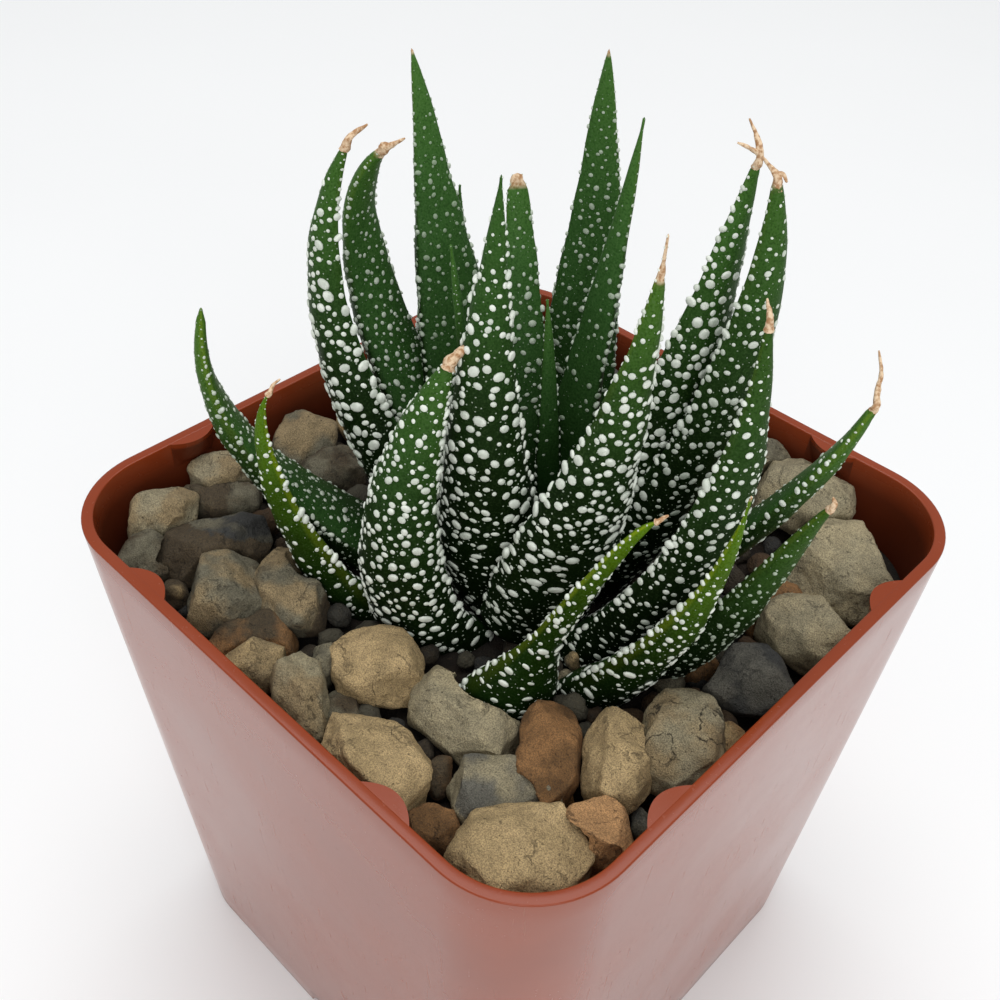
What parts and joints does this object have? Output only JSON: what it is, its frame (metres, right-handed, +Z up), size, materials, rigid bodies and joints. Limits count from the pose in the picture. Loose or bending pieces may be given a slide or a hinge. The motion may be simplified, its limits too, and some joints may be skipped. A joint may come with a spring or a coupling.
{
  "type": "potted succulent",
  "caption": "White-warted haworthia, a rosette of stiff pointed leaves, in a square plastic pot filled with soil and topped with river pebbles.",
  "frame": {"origin": "middle of the pot's foot, on the plane that the pot stands on", "axes": "+Z up, the pot's four sides face +X, -X, +Y and -Y, and the corner nearest the picture's camera is the one towards +X -Y"},
  "size_m": [0.0634, 0.0634, 0.103],
  "materials": {
    "pot": "satin",
    "soil": "matte",
    "stem": "matte",
    "leaf": "satin",
    "pebble_beige": "matte",
    "pebble_grey": "matte",
    "pebble_tan": "matte",
    "pebble_brown": "matte",
    "pebble_slate": "matte"
  },
  "bodies": {
    "root": {"pot": "pot", "soil": "soil", "stem": "stem", "leaf_centre": "leaf", "leaf_young": "leaf", "leaf_inner_front": "leaf", "leaf_inner_back": "leaf", "leaf_inner_slim": "leaf", "leaf_inner_right": "leaf", "leaf_tall_back": "leaf", "leaf_tall_left": "leaf", "leaf_broad_right": "leaf", "leaf_tall_right": "leaf", "leaf_dry_left": "leaf", "leaf_dry_right": "leaf", "leaf_curved_right": "leaf", "leaf_curved_left": "leaf", "leaf_broad_front": "leaf", "leaf_low_front": "leaf", "leaf_low_left": "leaf", "leaf_side_left": "leaf", "leaf_long_right": "leaf", "leaf_low_right": "leaf", "leaf_bulb_front": "leaf", "leaf_back_left": "leaf", "leaf_back": "leaf", "leaf_back_right": "leaf", "pebble_01": "pebble_beige", "pebble_02": "pebble_grey", "pebble_03": "pebble_beige", "pebble_04": "pebble_grey", "pebble_05": "pebble_beige", "pebble_06": "pebble_grey", "pebble_07": "pebble_beige", "pebble_08": "pebble_brown", "pebble_09": "pebble_tan", "pebble_10": "pebble_tan", "pebble_11": "pebble_tan", "pebble_12": "pebble_slate", "pebble_13": "pebble_grey", "pebble_14": "pebble_beige", "pebble_15": "pebble_brown", "pebble_16": "pebble_beige", "pebble_17": "pebble_beige", "pebble_18": "pebble_grey", "pebble_19": "pebble_grey", "pebble_20": "pebble_tan", "pebble_21": "pebble_grey", "pebble_22": "pebble_grey", "pebble_23": "pebble_grey", "pebble_24": "pebble_slate", "pebble_25": "pebble_beige", "pebble_26": "pebble_grey", "pebble_27": "pebble_brown", "pebble_28": "pebble_brown", "pebble_29": "pebble_beige", "pebble_30": "pebble_grey", "pebble_31": "pebble_beige", "pebble_32": "pebble_grey", "pebble_33": "pebble_tan"}
  },
  "joints": []
}
